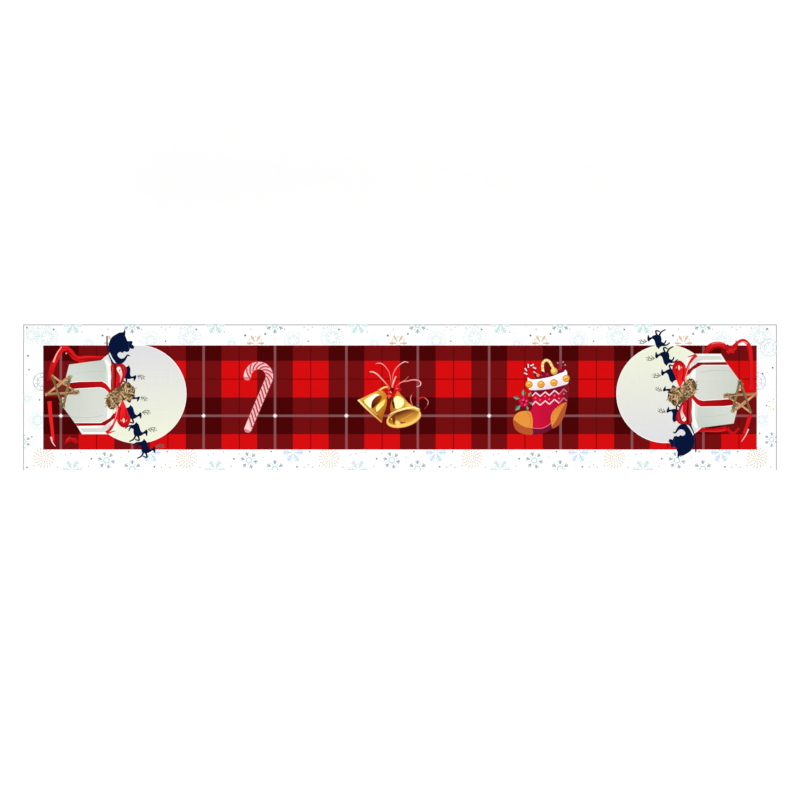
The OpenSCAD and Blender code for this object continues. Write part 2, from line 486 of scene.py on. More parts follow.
def red_bow(pen):
    """The gift's bow of red satin: a standing loop above the straw and a hanging one below it."""
    pen.blob([(-63, 72), (-63, 44), (-63, 4), (-51, 12), (-38, 24), (-30, 41), (-25, 57), (-30, 70),
              (-42, 75)], fade((-62, 60), dye(186, 24, 26), (-28, 22), dye(154, 8, 22)))
    pen.blob([(-48, 46), (-43, 42), (-43, 28), (-50, 18), (-53, 30)], dye(208, 18, 30))
    pen.blob([(-49.6, 61), (-46, 66.6), (-41, 65), (-37.8, 57), (-35.8, 46), (-38.4, 35), (-42, 27),
              (-41.6, 36), (-41.4, 43), (-44.6, 50)], fade((-46, 64), dye(255, 248, 240), (-40, 34),
                                                           dye(240, 128, 132)))
    pen.curve([(-54, 70), (-53, 46), (-54, 18)], 4.4, dye(116, 0, 6), 2.4)
    pen.curve([(-60, 66), (-60, 40), (-59, 12)], 2.8, dye(174, 72, 62), 1.4)
    pen.line([(-40.6, 61), (-44, 56)], 2, dye(80, 50, 40))
    pen.curve([(-35, 68), (-31.4, 58), (-32, 46), (-36, 34)], 3, dye(206, 34, 50), 1.5)
    pen.blob([(-36, -16), (-46, -39), (-50, -60), (-44, -74), (-33, -81), (-22, -76), (-16, -61), (-23, -43),
              (-29, -26)], fade((-46, -40), dye(240, 36, 36), (-20, -66), dye(196, 10, 20)))
    pen.curve([(-40, -32), (-44, -52), (-40, -70)], 3.4, deep_red, 1.6)
    pen.curve([(-28, -38), (-26, -54), (-30, -70)], 2.6, dye(168, 8, 16), 1.4)
    pen.curve([(-43, -70), (-34, -77), (-24, -73)], 3.4, dye(150, 4, 12), 1.6)
    pen.blob([(-34, -58), (-31, -60), (-30.4, -67), (-33, -69), (-35.4, -64)], dye(255, 226, 206), steps=3)
    pen.line([(-40, -62), (-38, -66)], 1.8, dye(255, 170, 160))
    pen.line([(-27, -66), (-25, -62)], 1.8, dye(255, 150, 140))
    pen.curve([(-45, -30), (-50, -52), (-56, -70), (-68, -86)], 6, ribbon_red, 4)
    pen.curve([(-47, -34), (-52, -55), (-60, -74)], 1.4, ribbon_pink, 0.8)


def laden_sleigh(pen):
    """A sleigh heaped with a tied sack, seen from the side: forward is +x and up is +y."""
    pen.curve([(-30, -30.2), (-14, -30.2), (-3, -29.4), (5, -28.2), (14, -25.5), (23.4, -22), (32, -17.6),
               (37, -13), (39.4, -8)], 3.4, navy)
    pen.curve([(11, -24), (14.4, -22.8), (23.4, -19), (32, -12.6)], 3.4, dye(236, 238, 246), 2)
    pen.patch(flowing([(-36, -5.6), (-33, -10.6), (-28.5, -17), (-21, -22.4), (-11, -25.8), (-3, -26.8),
                       (5, -25.2), (12.6, -22), (23.4, -16.8), (30, -12), (36, -7.4), (38.6, -2),
                       (37.4, 4.3), (34.3, 9.8), (28, 15.2), (21.4, 18.6), (18, 20.6), (19.4, 24.6),
                       (17.2, 25.4), (14.6, 21.4), (14.8, 18.4), (18.6, 15), (23.2, 10.6), (24.8, 4.4),
                       (21.2, -1.8), (15, -5), (10.4, -2), (8.8, 2.8), (11, 6.7), (8, 10.6), (4, 16),
                       (-4, 20), (-12, 20.4), (-18, 19), (-26.4, 16), (-31.6, 13.9), (-38, 14.6),
                       (-45.6, 13.6), (-46, 11.6), (-42, 10.8), (-39.6, 8.6), (-39, 4), (-38.2, -1)],
                      closed=True, steps=2), navy)
    pen.patch([(-22, 14), (-17.8, 20), (-18.4, 30), (-14, 32.4), (-10.4, 30), (-4.8, 36), (0.8, 34.6),
               (1, 29), (-1, 26), (7, 23), (9, 18), (6, 8)], navy)
    pen.line([(-18, 23), (3, 22)], 1.1, dye(40, 60, 100))


def leaping_deer(pen):
    """One deer of the team, seen from the side: forward is +x and up is +y."""
    for beam in [[(1, 27), (-2, 30), (-4.6, 35), (-4.8, 41), (-3.4, 47)],
                 [(0.4, 28), (0.6, 33), (-0.4, 38), (1.4, 42), (1.6, 48)]]:
        pen.curve(beam, 1.8, antler_grey, 1.3, steps=3)
    for root, tip in [((1.4, 30), (6, 35)), ((1.4, 38), (6, 42)), ((-3, 34), (0.4, 36.6)),
                      ((-4.4, 41), (-0.2, 43))]:
        pen.line([root, tip], 1.6, antler_grey)
    pen.curve([(14, 2.4), (20, 5), (25, 5.6), (25, 1), (23, -3.4)], 4.6, navy, 3, steps=3)
    pen.curve([(14, -2.6), (21.6, -6.6), (25.4, -11.6), (28, -17.4)], 4.6, navy, 2.8, steps=3)
    pen.curve([(-8, -14), (-9, -18), (-7, -22.6), (-3, -27.4)], 4.2, navy, 2.8, steps=3)
    pen.curve([(-6, -13), (-2, -17), (2.8, -18.6)], 4.2, navy, 2.8, steps=3)
    pen.patch([(-18.6, -1.2), (-15.6, 1), (-12.6, 4.4), (-8, 6.2), (-3, 7.4), (1, 8.6), (4, 10.2),
               (6.4, 13.2), (5.4, 16), (3.4, 18.6), (0.2, 21.4), (-0.4, 23.6), (2, 25.2), (5, 26.2),
               (8.6, 25.8), (12, 25.4), (15, 24.6), (15.4, 22.6), (12, 21.6), (9.6, 20.4), (9.6, 18),
               (12, 14.6), (14.6, 10.4), (15.8, 6), (16, 2), (15.4, -3.6), (12, -7), (5, -8.2),
               (-0.6, -7.6), (-3, -12), (-5.6, -15), (-7.6, -17.4), (-10.6, -16.6), (-11.6, -13.6),
               (-11.2, -9.6), (-12.6, -5.6), (-15, -3.6)], navy)


def end_scene(middle, turn, with_side_ribbons):
    """One end's scene; the deer and the sleigh climb across the moon, from the front to the back."""
    pen = Pen(middle, turn)
    if with_side_ribbons:
        side_ribbons(Pen(middle))
        loose_scrap(pen)
        top_ribbon(pen)
    else:
        ribbon_ends(pen)
    moon(pen)
    gift_box(pen)
    for place, lean, size in [
        ((-24.4, 53), -19, 0.96),
        ((-13, 2.8), -25, 0.88),
        ((-15, -44.2), 0, 1.0),
        ((-1, -86), 0, 1.02),
        ((18, -127), 0, 1.02),
    ]:
        leaping_deer(Pen(pen.laid(place), turn - 90 + lean, size))
    red_bow(pen)
    straw_bow(pen)
    straw_star(pen)
    laden_sleigh(Pen(pen.laid((-43, 111)), turn - 90))


end_scene((-637.6, 7.5), 0, False)
end_scene((644.4, 8.5), 180, True)


# Candy cane: a pale stick bent over at the top, wound with slanted dark and red stripes.
def candy_cane(pen):
    path = flowing([(-27.4, 50), (-25.4, 60), (-18, 70), (-9, 75.6), (2, 77), (12, 74.4), (21, 66.6),
                    (25.6, 57), (25.8, 46), (21, 34), (-2, -20), (-26, -77)], steps=5)
    for spot in (path[0], path[-1]):
        pen.oval(spot, 9.2, dye(214, 130, 136), sides=14)
    pen.line(path, 18.6, dye(214, 122, 130))
    pen.line(path, 16.6, dye(246, 210, 208))
    walked = [0]
    for a, b in zip(path, path[1:]):
        walked.append(walked[-1] + (b - a).length)

    def spot_on(distance, aside):
        for a, b, start, end in zip(path, path[1:], walked, walked[1:]):
            if distance <= end or end == walked[-1]:
                along = (b - a).normalized()
                return a + along * (distance - start) + Vector((-along.y, along.x)) * aside

    stripe_every = 12.4
    for number in range(int(walked[-1] / stripe_every)):
        for lead, thick, lit, shaded in [(0, 3.7, dye(222, 66, 82), dye(104, 44, 50)),
                                         (5.6, 1.3, dye(252, 150, 160), dye(226, 128, 138))]:
            start = 6 + number * stripe_every + lead
            stripe = [spot_on(start + slant * 10, 7.9 * slant) for slant in (-1, -0.5, 0, 0.5, 1)]
            side = Vector((stripe[3].y - stripe[1].y, stripe[1].x - stripe[3].x)).normalized() * thick * 0.7
            pen.line(stripe, thick, fade(stripe[2] - side, shaded, stripe[2] + side, lit))


candy_cane(Pen((-343, 0)))

# A pair of gold bells hung from curled red ribbon.
gold_light = dye(255, 244, 160)
gold_glint = dye(255, 254, 228)
gold = dye(226, 160, 44)
bell_brown = dye(104, 40, 8)


def ribbon_curls(pen):
    """Curled ribbon ends; each runs from red at the knot to pale pink where its tip catches the light."""
    shadow = dye(150, 10, 16)
    bright = dye(236, 40, 36)
    for points, width, tip_dye in [([(-12, 16), (-20, 25.6), (-31.2, 38.2), (-42.3, 49.3), (-52, 55.4),
                                     (-60.5, 56.3)], 3.6, dye(255, 206, 196)),
                                   ([(-8, 18), (-11, 40), (-14.4, 54.9), (-21.4, 66.1), (-31.2, 75.4),
                                     (-39.6, 77.2), (-46.5, 75.8)], 2.6, dye(240, 150, 140)),
                                   ([(-5, 20), (-6, 38), (-3.3, 53.5), (5.1, 67.5), (16.3, 77.2),
                                     (24.6, 80.7), (32, 79)], 3.4, dye(236, 150, 146)),
                                   ([(-7, 14), (-6, 24), (-1.9, 35.4), (2.3, 45.1)], 4.8,
                                    dye(255, 170, 156)), ([(2, 20), (7.9, 25.6), (16.3, 31.2), (30.2, 34),
                                                           (44.2, 36.8), (55.3, 35.4), (62.3, 29.8),
                                                           (60.9, 22.8), (52.5, 20)], 3.4,
                                                          dye(240, 176, 176)),
                                   ([(8, 25), (14, 29.4), (23.3, 35.4), (33, 45.1)], 2.2, dye(214, 90, 90)),
                                   ([(42, -24), (37.9, -10.7), (40, -0.9), (45.5, 7.5)], 2.6,
                                    dye(160, 24, 24)), ([(55.3, -13.5), (62.3, -6.5), (72, -6.5),
                                                         (80.4, -14.9), (79, -24.6), (72, -33)], 2.4,
                                                        dye(176, 34, 36))]:
        pen.curve([(x - 0.8, y - 0.9) for x, y in points], width + 0.9, shadow, width * 0.5)
        pen.curve(points, width, fade(points[0], bright, points[-2], tip_dye), width * 0.6)
        lit = points[-4:-1]
        pen.curve(lit, width * 0.36, fade(lit[0], dye(244, 110, 104), lit[-1], dye(255, 232, 228)),
                  width * 0.3)
    pen.curve([(-62, 56), (-66, 46), (-66, 34), (-60, 27)], 1.6, dye(164, 12, 18), 1.0)


def left_bell(pen):
    outline = [(-90, -12), (-74.4, -5.1), (-60.5, 1.9), (-46.5, 8.2), (-34, 11.6), (-25.6, 6.1),
               (-20.7, -2.3), (-19.3, -12), (-20, -23.2), (-22.8, -34.4), (-27, -45.5), (-29.8, -55.3),
               (-31.2, -66.5)]
    pen.patch(flowing(outline, steps=3), fade((-64, -8), gold, (-22, -40), dye(176, 98, 24)))
    pen.curve([(-88, -13), (-74, -6.4), (-58, 1.6), (-40, 8.6)], 2.4, dye(244, 170, 60), 2)
    pen.blob([(-76, -15.4), (-61.9, -3.7), (-47.9, 2.9), (-38.2, 0.2), (-47.9, -9.3), (-54.9, -19),
              (-57.7, -30.2), (-63.3, -28.1)], fade((-72, -14), gold_light, (-58, -12), gold_glint))
    pen.blob([(-57.4, -25.6), (-54.4, -13.5), (-44.4, -3.4), (-35.4, -1.4), (-31.6, -5.5), (-37.6, -16.3),
              (-46.6, -26), (-54.9, -32.6)], fade((-56, -28), dye(60, 8, 2), (-34, -4), dye(150, 62, 10)))
    pen.blob([(-45.8, -38.6), (-45, -28.4), (-33.6, -16.9), (-23.6, -10.1), (-23.8, -19.4), (-32.6, -30.2),
              (-42.3, -39.6)], fade((-44, -36), gold_light, (-28, -16), dye(255, 222, 92)))
    pen.curve([(-31, -2), (-25.4, -8), (-24, -16), (-28, -28), (-38, -42)], 1.6, dye(206, 132, 30), 1)
    pen.curve([(-78, -15), (-64, -30), (-50, -43.6), (-34, -58)], 2.2, dye(110, 60, 10), 1.4)
    pen.curve([(-74, -18), (-58, -35), (-44, -48)], 1.4, gold_light, 0.8)
    pen.curve([(-89, -12.4), (-74.4, -27.4), (-57.7, -43.2), (-42.3, -57), (-32.4, -66)], 4.6,
              fade((-86, -14), gold_light, (-40, -60), dye(244, 160, 84)), 2.4)
    pen.curve([(-90, -14.6), (-75.4, -30), (-58.7, -46.2), (-43.3, -60)], 1.2, bell_brown, 0.8)
    pen.curve([(-40, 9.4), (-33, 14.6), (-25.6, 18.2), (-18, 18.6), (-13, 14.4)], 6.2, dye(190, 116, 22), 4.6)
    pen.curve([(-38, 11), (-31, 16), (-25, 19), (-18, 19.4)], 2.8, dye(255, 236, 168), 2)


def right_bell(pen):
    pen.blob([(6.5, 8.9), (0.9, -0.9), (-6.1, -9.3), (-10.2, -20.4), (-11.6, -33), (-10.2, -43), (-16, -52),
              (20, -50), (60, -38), (51.2, -29), (41.4, -25), (31.6, -18), (23.3, -8.3), (13.5, 1.5)],
             fade((-12, -28), dye(178, 104, 22), (34, -24), gold))
    pen.blob([(4.6, 6), (6.5, 9.5), (9.6, 4), (14, -4), (6, -5), (-0.4, -5)], dye(214, 132, 40), steps=3)
    pen.patch([(-6.2, -8), (-2.6, -10.6), (-0.4, -20), (1.4, -32), (-3.4, -32), (-7.6, -20)], dye(76, 24, 4))
    pen.blob([(-3.3, -11.5), (2.3, -3.4), (10.7, -3.4), (20.4, -10.4), (22.4, -20.4), (16.3, -29.4),
              (5.1, -34), (0.8, -31.6), (-1.3, -20.4)], fade((0, -10), dye(255, 250, 190), (20, -24),
                                                             gold_light))
    pen.blob([(6, -9), (12, -8), (16, -14), (16.6, -24), (11, -27), (8, -18)],
             fade((8, -10), gold_light, (14, -24), gold_glint))
    pen.patch([(23, -10), (31, -19.4), (40, -26.6), (33, -29), (25, -27), (24.6, -18)],
              fade((24, -14), dye(206, 140, 34), (38, -28), dye(250, 214, 100)))
    mouth = (21.4, -56.2)
    pen.oval(mouth, 43.4, dye(246, 184, 84), flat=0.5, tilt=15.5, sides=32)
    pen.oval((mouth[0] - 0.4, mouth[1] + 0.8), 41.2, dye(252, 214, 116), flat=0.47, tilt=15.5, sides=32)
    pen.oval((mouth[0] + 0.2, mouth[1] + 1.6), 39, fade((14, -42), dye(96, 24, 10), (26, -72),
                                                        dye(240, 172, 66)), flat=0.43, tilt=15.5, sides=32)
    pen.curve([(-10, -57), (0, -66), (14, -71.6), (34, -68), (52, -56), (58, -44)], 2.4, dye(252, 204, 104),
              1.4)
    pen.patch([(-4, -50), (0, -56), (-0.4, -70), (-4.6, -69), (-7, -60)], dye(112, 40, 10))
    pen.blob([(2, -64), (6, -62), (11, -66), (12, -72), (6, -74), (2, -71)], dye(255, 208, 110), steps=3)
    pen.curve([(14, -60), (24, -56), (34, -50), (44, -44)], 2.4, dye(236, 150, 62), 1.2)
    pen.curve([(14, -66.4), (18, -67.8), (24, -66)], 3.4, dye(104, 34, 10), 2)
    pen.curve([(-17, -53), (-6, -44.6), (10, -37.6), (28, -32.4), (44, -30.4), (58, -34.4)], 4.2,
              fade((-12, -50), dye(226, 158, 56), (34, -32), gold_light), 3)
    pen.curve([(-12, -46.4), (6, -37), (26, -31), (44, -28.6)], 1.4, gold_glint, 1)
    pen.curve([(-14, -52), (-2, -45), (14, -39.4), (32, -35), (50, -34.4)], 1.2, bell_brown, 0.9)


def bell_pair(pen):
    ribbon_curls(pen)
    left_bell(pen)
    right_bell(pen)
    pen.blob([(-12, 16), (-6, 18), (-2, 12), (-6, 4), (-12, 8)], dye(112, 2, 8))
    pen.blob([(-23, 8), (-18, 13), (-9, 11), (-6.4, 4), (-12, 0), (-20, 1)], dye(190, 14, 24))
    pen.blob([(-18, 8), (-14, 10), (-11, 6), (-15, 3)], dye(232, 48, 52), steps=3)
    pen.line([(-12, 9), (-8.6, 5)], 1.6, dye(236, 190, 176))
    pen.blob([(-1, 14), (3, 19), (12, 18), (16, 12), (8, 10)], dye(196, 16, 28))
    pen.blob([(1, 16), (5, 17.6), (9, 15.4), (4, 13.6)], dye(250, 96, 110), steps=3)
    pen.patch([(-19, -1), (-14.4, -9.5), (-9, -2), (-13, 1)], dye(196, 96, 80))


bell_pair(Pen((-12.2, 5.6)))

# A knitted stocking with a rolled white top, gold baubles, a flower, and sweets looking out of it.
crimson = dye(204, 14, 58)
plum = dye(112, 16, 48)
orange = dye(228, 146, 58)
rust = dye(180, 84, 44)
leaf_green = dye(48, 100, 78)


def sweets(pen):
    arch = flowing([(-49, 61), (-50.4, 70), (-46.9, 79.7), (-37.9, 86), (-29.5, 81), (-27.6, 72),
                    (-25.3, 57)], steps=4)
    pen.line(arch, 6.6, dye(150, 8, 34))
    for start, end in list(zip(arch, arch[1:]))[1::4]:
        along = (end - start).normalized()
        across = Vector((-along.y, along.x)) * 3.2
        pen.line([start - across - along * 1.6, end + across + along * 1.6], 3.4, dye(250, 226, 232))
        pen.line([start - across - along * 4, end + across - along * 0.8], 1.2, dye(84, 6, 26))
    hook = flowing([(-5.8, 53), (-7.2, 65.7), (-9, 79.7), (-7.6, 90.4), (-1.2, 96.4), (6.8, 94), (12.4, 85.2),
                    (18, 75)], steps=4)
    pen.line(hook, 7.0, dye(216, 160, 70))
    pen.line(hook, 5.2, dye(252, 226, 148))
    for start, end in list(zip(hook, hook[1:]))[1::3]:
        pen.line([start, end], 5.2, dye(226, 176, 96))
        pen.line([end, end + (end - start)], 3.0, dye(255, 250, 226))
    pen.blob([(-24, 52), (-30, 66), (-18, 62), (-10, 70), (0, 62), (2, 54)], plum)
    pen.blob([(4, 54), (8, 66), (14, 62), (24, 74), (34, 72), (44, 78), (44, 68), (30, 58)], plum)
    for spot, radius, paint in [((2, 62), 4, crimson), ((-20, 60), 4, orange), ((34, 76), 4, crimson),
                                ((30, 84), 3, dye(150, 20, 60)), ((-12, 60), 3, crimson)]:
        pen.oval(spot, radius, paint, sides=12)
    for stem in [[(28, 72), (34, 84), (40, 92)], [(30, 76), (38, 82), (45, 84)]]:
        pen.curve(stem, 2, dye(120, 50, 60), 1)
    for spot in [(41, 92), (46, 85), (28, 90)]:
        pen.oval(spot, 2, dye(200, 150, 150), sides=8)
    pen.oval((19, 70), 8.4, dye(214, 176, 66), sides=18)
    pen.oval((17, 72), 5.4, dye(240, 214, 110), sides=16)


def stocking(pen):
    sweets(pen)
    pen.blob([(-36, 27), (10, 30), (51, 38), (53, 10), (49, -18), (40, -44), (16, -68), (-6, -80), (-34, -84),
              (-60, -80), (-76, -68), (-80, -50), (-74, -34), (-58, -27), (-40, -27), (-34, -16), (-34, 8)],
             fade((-30, 0), crimson, (50, 0), dye(176, 12, 50)))
    pen.patch([(-36, 25), (-8, 26), (27, 34), (46, 40), (50, 30), (42, 24), (34, 16), (20, 21), (8, 12),
               (-3, 18), (-15, 9), (-26, 17), (-35, 9)], dye(122, 8, 40))
    pen.blob([(40, 34), (52, 36), (53, 10), (49, -8), (41, -8), (40, 8), (44, 20)], dye(124, 20, 40))
    pen.blob([(-34, -70), (-10, -70), (6, -62), (14, -52), (18, -66), (-6, -80), (-34, -84)], plum)
    pen.curve([(-34, -68), (-12, -69), (4, -62), (14, -54)], 1.6, dye(226, 110, 120))
    pen.blob([(-40, -28), (-34, -42), (-33, -58), (-36, -70), (-56, -68), (-72, -58), (-80, -48), (-73, -34),
              (-58, -27)], orange)
    pen.blob([(-80, -48), (-66, -58), (-50, -66), (-35, -69), (-34, -84), (-60, -81), (-76, -69)], rust)
    pen.blob([(-72, -42), (-60, -34), (-48, -34), (-46, -46), (-56, -54), (-68, -50)], dye(226, 146, 60))
    edge = flowing([(-43, -30), (-37.6, -40), (-36, -53), (-38, -65)], steps=4)
    for start, end in list(zip(edge, edge[1:]))[::2]:
        pen.line([start + Vector((-3.4, 0)), end], 1.2, dye(176, 96, 30))
    pen.blob([(49, -6), (34, -12), (21, -22), (13, -34), (11, -46), (13, -60), (16, -69), (31, -60),
              (42, -42), (48, -22)], fade((14, -40), orange, (40, -30), dye(220, 128, 48)))
    pen.blob([(49, -7), (38, -22), (26, -46), (14, -64), (17, -69), (31, -60), (42, -42), (48, -22)], rust)
    edge = flowing([(31, -14), (20, -25), (14, -40), (15, -56)], steps=4)
    for start, end in list(zip(edge, edge[1:]))[::2]:
        pen.line([start, end + Vector((3.6, 0))], 1.2, dye(176, 92, 30))
    wool_white = dye(250, 214, 220)
    wool_shaded = dye(196, 120, 128)
    zigzag = [(-33.7, 9.9), (-26, 18.3), (-14.6, 9.2), (-2.3, 19.7), (7.6, 11.3), (20, 23.2), (31.4, 14.1),
              (42.4, 27), (49.6, 19.6)]
    for lower in (0, -21.7):
        pen.line([(x, y + lower) for x, y in zigzag[:7]], 2.7, wool_white)
        pen.line([(x, y + lower) for x, y in zigzag[6:]], 2.4, wool_shaded)
    for spot in [(-26, 5), (-15, 0), (-3, 9), (7, 2), (20, 11), (31, 4), (43, 15)]:
        pen.oval(spot, 2, dye(238, 120, 110), sides=8)
    pen.patch(flowing([(-45, 55), (-39, 50.6), (-22, 50.4), (-5.8, 53), (13.8, 57.3), (30.5, 64), (43, 68.5),
                       (45.6, 73.4), (50.4, 68), (51, 60), (54.2, 42), (44, 36.4), (27.7, 32), (8.2, 26.8),
                       (-14, 24.6), (-40.7, 24.6), (-44, 38)], closed=True, steps=2),
              fade((0, 60), dye(255, 252, 248), (8, 24), dye(234, 214, 222)))
    for spot in [(-42, 37.8), (-12.8, 37.8), (18.6, 42), (48.6, 52.4)]:
        pen.oval(spot, 8.9, dye(168, 92, 26), sides=18)
        pen.oval((spot[0] - 0.4, spot[1] + 0.5), 7.7, dye(236, 168, 58), sides=18)
        pen.blob([(spot[0] - 5, spot[1] + 1), (spot[0] - 1, spot[1] + 5.4), (spot[0] + 3, spot[1] + 4),
                  (spot[0] - 1, spot[1] + 1)], dye(252, 206, 104), steps=3)
        pen.curve([(spot[0] - 3, spot[1] - 3), (spot[0] + 1, spot[1] - 0.6), (spot[0] + 4.4,
                                                                              spot[1] - 3.4)], 1.5,
                  dye(208, 104, 40), 0.8)
    for base, tip in [((-55, 8), (-55, 26)), ((-64, 3), (-80, 7)), ((-44, 8), (-36, 19)),
                      ((-62, -12), (-76, -26)), ((-48, -14), (-44, -26)), ((-42, -6), (-33, -10))]:
        start, end = Vector(base), Vector(tip)
        side = Vector((start.y - end.y, end.x - start.x)) * 0.32
        middle = (start + end) / 2
        pen.patch([start, middle - side, end, middle + side], leaf_green)
        pen.patch([start, middle - side * 0.2, end, middle + side * 0.7], dye(128, 172, 146))
    for petal in range(5):
        angle = math.radians(72 * petal + 20)
        centre = (-54 + 6.5 * math.cos(angle), -4 + 6.5 * math.sin(angle))
        pen.oval(centre, 7.2, dye(178, 12, 56), sides=14)
        pen.oval((centre[0] - 1, centre[1] + 1), 4, dye(206, 26, 74), sides=10)
    for spot in [(-56, 0), (-51.6, -12), (-48, -2)]:
        pen.oval(spot, 2.4, dye(252, 70, 112), sides=8)
    pen.oval((-54, -5), 2.8, dye(118, 4, 36), sides=10)


stocking(Pen((354.8, -6.6)))

# ---------------------------------------------------------------------------------------------------------
# The cloth: one length of thin woven polyester, 0.5 mm thick, its print on the upper face only.
# It lies flat; inside the raised hem it sinks to the table. It is meshed in three lengths, each with
# close rows of points across one fold line, and the lengths meet away from the fold lines.
# ---------------------------------------------------------------------------------------------------------
MM = 0.001
half_length = cad_high.x / MM
half_width = cad_high.y / MM
cloth_thickness = 0.5
hem_width = 12
hem_top = 1.5
nose_radius = 0.75
seam_from_edge = hem_width - 2
stitch_pitch = 3.2
lengths_meet = 305
label_low, label_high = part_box("care_label")


def ease(share):
    share = min(1, max(0, share))
    return share * share * (3 - 2 * share)


def cloth_height(x, y):
    """How high the cloth's printed face lies above the table, in millimetres."""
    from_edge = min(half_width - abs(y), half_length - abs(x))
    ripple = math.sin(x / 61 + 1.4 * math.sin(y / 70)) + math.sin(x / 23 - y / 41) * 0.4
    over_label = (ease((x - label_low.x / MM) / 5 + 1) * ease((label_high.x / MM - x) / 5 + 1)
                  * ease((label_high.y / MM - y) / 5 + 1) * ease((y - label_low.y / MM) / 5 + 1))
    resting = 0.9 + 0.25 * ripple * (1 - over_label)
    return hem_top + (resting - hem_top) * ease((from_edge - hem_width) / 10)


def rows_between(low, high, step):
    count = max(1, round((high - low) / step))
    return [low + (high - low) * k / count for k in range(count + 1)]


bend_half_width = {"left_drop": 2.2, "half_fold": 4.16, "right_drop": 2.2}
bend_place = {joint["name"]: joint["pos_m"][0] / MM for joint in frame["joints"]}
mesh_step = 9
bend_step = 0.5
bend_reach = 5
ripples_from_edge = 28


def bend_rows(bend):
    """Close rows of points across a fold line."""
    return rows_between(bend_place[bend] - bend_reach, bend_place[bend] + bend_reach, bend_step)


def bend_over(piece, bend):
    """Bakes a piece's placement into its mesh; the fold line's place and reach are worked out but not used.
    """
    middle = bend_place[bend] * MM
    reach = bend_half_width[bend] * MM
    middle - reach
    middle + reach
    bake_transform(piece)


def cloth_points(x_from, x_to, bend):
    """Points that the cloth needs to bend at its fold line, sink beside its hems and lie in ripples."""
    columns = [x for x in rows_between(x_from, x_to, mesh_step) if abs(x - bend_place[bend]) > mesh_step]
    columns += bend_rows(bend)
    hem_rows = [4, 8, 11.5, 13, 15, 17.5, 20, 23]
    for end in (x_from, x_to):
        if abs(end) > half_length - 1:
            columns += [math.copysign(half_length - row, end) for row in hem_rows]
    rows = rows_between(-half_width + ripples_from_edge, half_width - ripples_from_edge, mesh_step)
    rows += [side * (half_width - row) for side in (-1, 1) for row in hem_rows]
    return [(x, y) for x in sorted(columns) for y in rows]


def new_piece(name, points, faces):
    """A piece with a mesh of its own, from points in metres."""
    mesh = bpy.data.meshes.new(name)
    mesh.from_pydata(points, [], faces)
    return into_scene(name, mesh)


def choose(piece):
    """Makes a piece the only one selected."""
    bpy.ops.object.select_all(action="DESELECT")
    piece.select_set(True)
    bpy.context.view_layer.objects.active = piece


def turn_outward(piece):
    """Turns every face of a closed piece outward."""
    choose(piece)
    bpy.ops.object.mode_set(mode="EDIT")
    bpy.ops.mesh.select_all(action="SELECT")
    bpy.ops.mesh.normals_make_consistent(inside=False)
    bpy.ops.object.mode_set(mode="OBJECT")


def printed_length(name, x_from, x_to, bend):
    """One length of cloth, its printed face cut along every printed outline."""
    y_edge = half_width - nose_radius
    rim = [(x, -y_edge) for x in rows_between(x_from, x_to, mesh_step)]
    rim += [(x_to, y) for y in rows_between(-y_edge, y_edge, mesh_step)[1:-1]]
    rim += [(x, y_edge) for x in rows_between(x_to, x_from, -mesh_step)]
    rim += [(x_from, y) for y in rows_between(y_edge, -y_edge, -mesh_step)[1:-1]]
    points = [Vector(p) for p in rim]
    outlines = [list(range(len(points)))]
    drawn = [None]
    for outline, paint, pen in printed_shapes:
        if max(p.x for p in outline) > x_from and min(p.x for p in outline) < x_to:
            outlines.append(list(range(len(points), len(points) + len(outline))))
            points += outline
            drawn.append((paint, pen))
    inside = y_edge - 1
    points += [Vector(p) for p in cloth_points(x_from, x_to, bend)
               if abs(p[1]) < inside and x_from + 1 < p[0] < x_to - 1]
    spots, _, triangles, _, _, owners = delaunay_2d_cdt(points, [], outlines, 1, 1e-4, True)

    corners = []
    inks = []
    for triangle, owner in zip(triangles, owners):
        if 0 not in owner:
            continue
        a, b, c = [spots[i] for i in triangle]
        area = (b.x - a.x) * (c.y - a.y) - (c.x - a.x) * (b.y - a.y)
        if abs(area) < 1e-7:
            continue
        corners.append(triangle if area > 0 else triangle[::-1])
        inks.append(drawn[max(owner)])
    used = sorted({i for triangle in corners for i in triangle})
    renumber = {old: new for new, old in enumerate(used)}
    raised = [(x * MM, y * MM, cloth_height(x, y) * MM) for x, y in (spots[i] for i in used)]
    piece = new_piece(name, raised, [[renumber[i] for i in triangle] for triangle in corners])
    places = []
    colours = []
    for triangle, printed in zip(corners, inks):
        for i in triangle:
            places += [spots[i].x * MM, spots[i].y * MM]
            if printed is None:
                colours += [0, 0, 0, 0]
            else:
                paint, pen = printed
                colours += [*(paint(pen.back(spots[i])) if callable(paint) else paint), pen.cover]
    piece.data.uv_layers.new(name="flat_print")
    piece.data.attributes.new("ink", "FLOAT_COLOR", "CORNER")
    piece.data.uv_layers["flat_print"].data.foreach_set("uv", places)
    piece.data.attributes["ink"].data.foreach_set("color", colours)
    return piece


class Wire:
    """One socket of a finish; a sum of wires adds its Math nodes."""

    def __init__(self, finish, socket):
        self.finish = finish
        self.socket = socket

    def sum(self, operation, *values):
        return self.finish.node("ShaderNodeMath", {"operation": operation}, values)

    def __add__(self, other):
        return self.sum("ADD", self, other)

    __radd__ = __add__

    def __sub__(self, other):
        return self.sum("SUBTRACT", self, other)

    def __rsub__(self, other):
        return self.sum("SUBTRACT", other, self)

    def __mul__(self, other):
        return self.sum("MULTIPLY", self, other)

    __rmul__ = __mul__

    def __truediv__(self, other):
        return self.sum("DIVIDE", self, other)

    def __mod__(self, other):
        return self.sum("FLOORED_MODULO", self, other)

    def __lt__(self, other):
        return self.sum("LESS_THAN", self, other)

    def __gt__(self, other):
        return self.sum("GREATER_THAN", self, other)

    def __abs__(self):
        return self.sum("ABSOLUTE", self)

    def sine(self):
        return self.sum("SINE", self)


